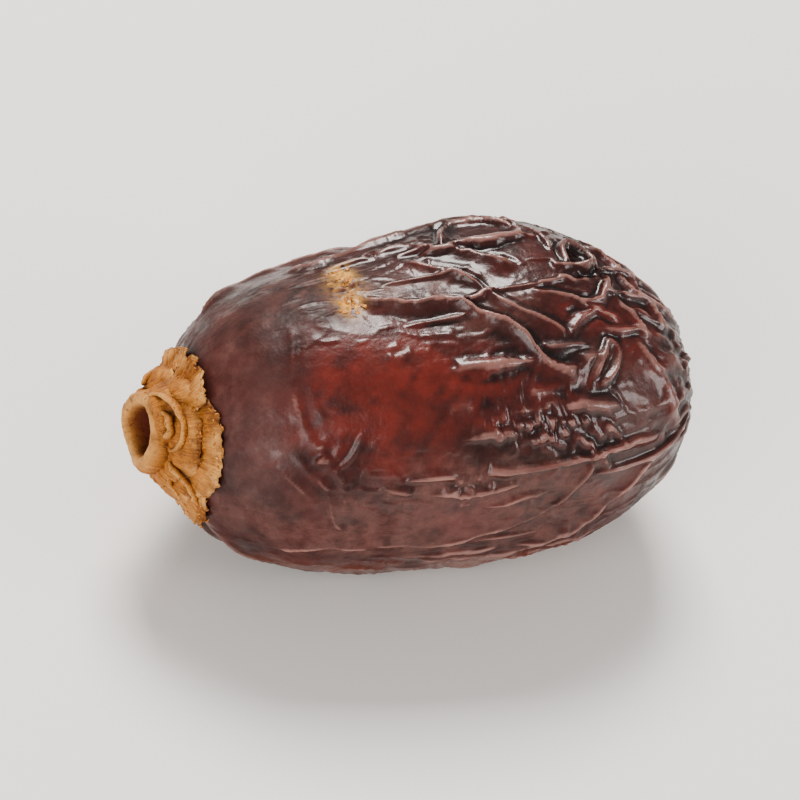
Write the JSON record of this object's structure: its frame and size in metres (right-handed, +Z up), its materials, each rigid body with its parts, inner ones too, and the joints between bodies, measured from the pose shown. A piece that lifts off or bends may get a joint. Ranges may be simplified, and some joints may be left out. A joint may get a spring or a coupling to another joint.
{
  "type": "dried date fruit",
  "caption": "Whole dried date lying on its side, dark wrinkled glossy skin, with its dry golden calyx cap on the stem end.",
  "frame": {"origin": "on the resting surface, under the middle of the date's box", "axes": "+X along the date from the calyx to the tip, +Z up from the surface it rests on"},
  "size_m": [0.0424, 0.0246, 0.0229],
  "materials": {
    "date_skin": "satin to glossy thin skin, dark red brown, wrinkled, paler on the fold crests",
    "calyx_husk": "dry papery husk, golden ochre, browner at the ragged edges"
  },
  "bodies": {
    "root": {"fruit": "date_skin", "calyx": "calyx_husk"}
  },
  "joints": []
}
